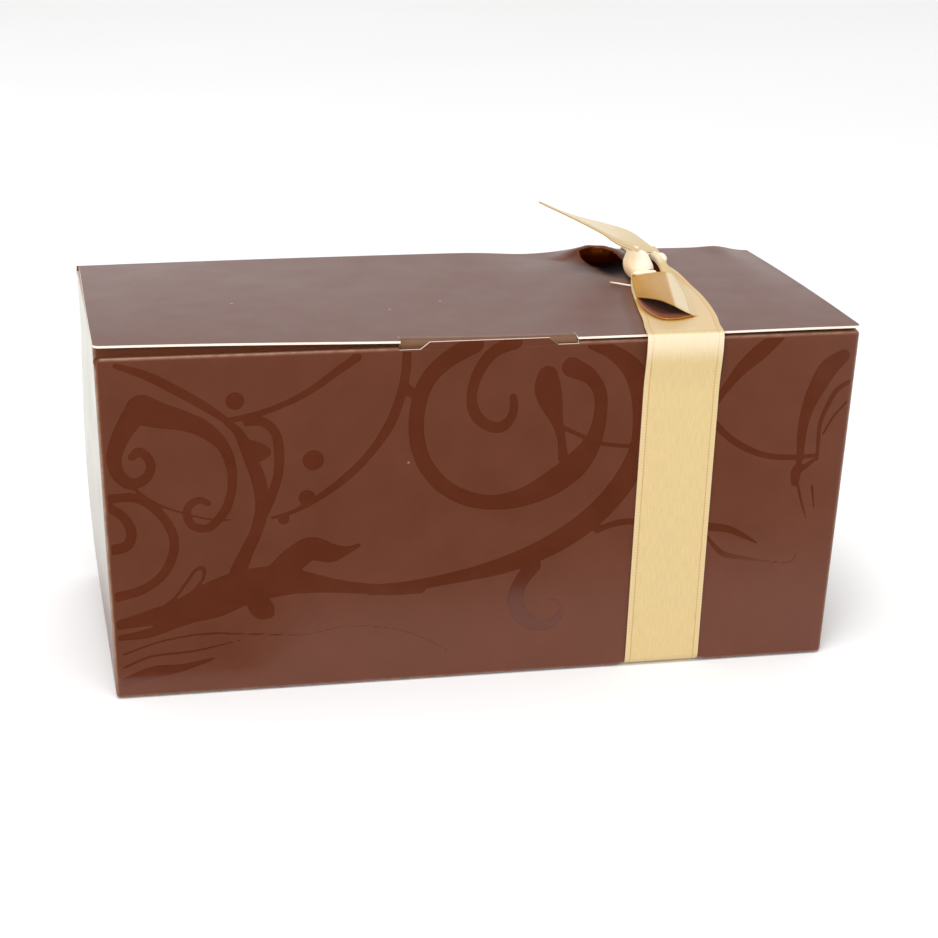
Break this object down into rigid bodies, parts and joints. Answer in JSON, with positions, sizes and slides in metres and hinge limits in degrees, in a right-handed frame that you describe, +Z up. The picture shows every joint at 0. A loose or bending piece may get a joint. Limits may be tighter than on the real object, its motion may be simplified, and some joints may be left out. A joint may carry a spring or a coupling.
{
  "type": "chocolate gift box",
  "caption": "Shut folding-carton gift box for chocolates with sloping walls and a tuck lid, tied round with a satin ribbon knotted on top.",
  "frame": {"origin": "middle of the base, on the surface the box stands on", "axes": "+X along the front wall to the right as seen from the front, +Y from the front wall to the back wall with the hinge, +Z up"},
  "size_m": [0.1514, 0.0741, 0.0862],
  "materials": {
    "board": "brown printed board with a soft sheen",
    "lid_board": "brown printed board with a soft sheen",
    "ribbon": "satin"
  },
  "bodies": {
    "root": {"carton": "board", "lid": "lid_board", "ribbon": "ribbon"}
  },
  "joints": []
}
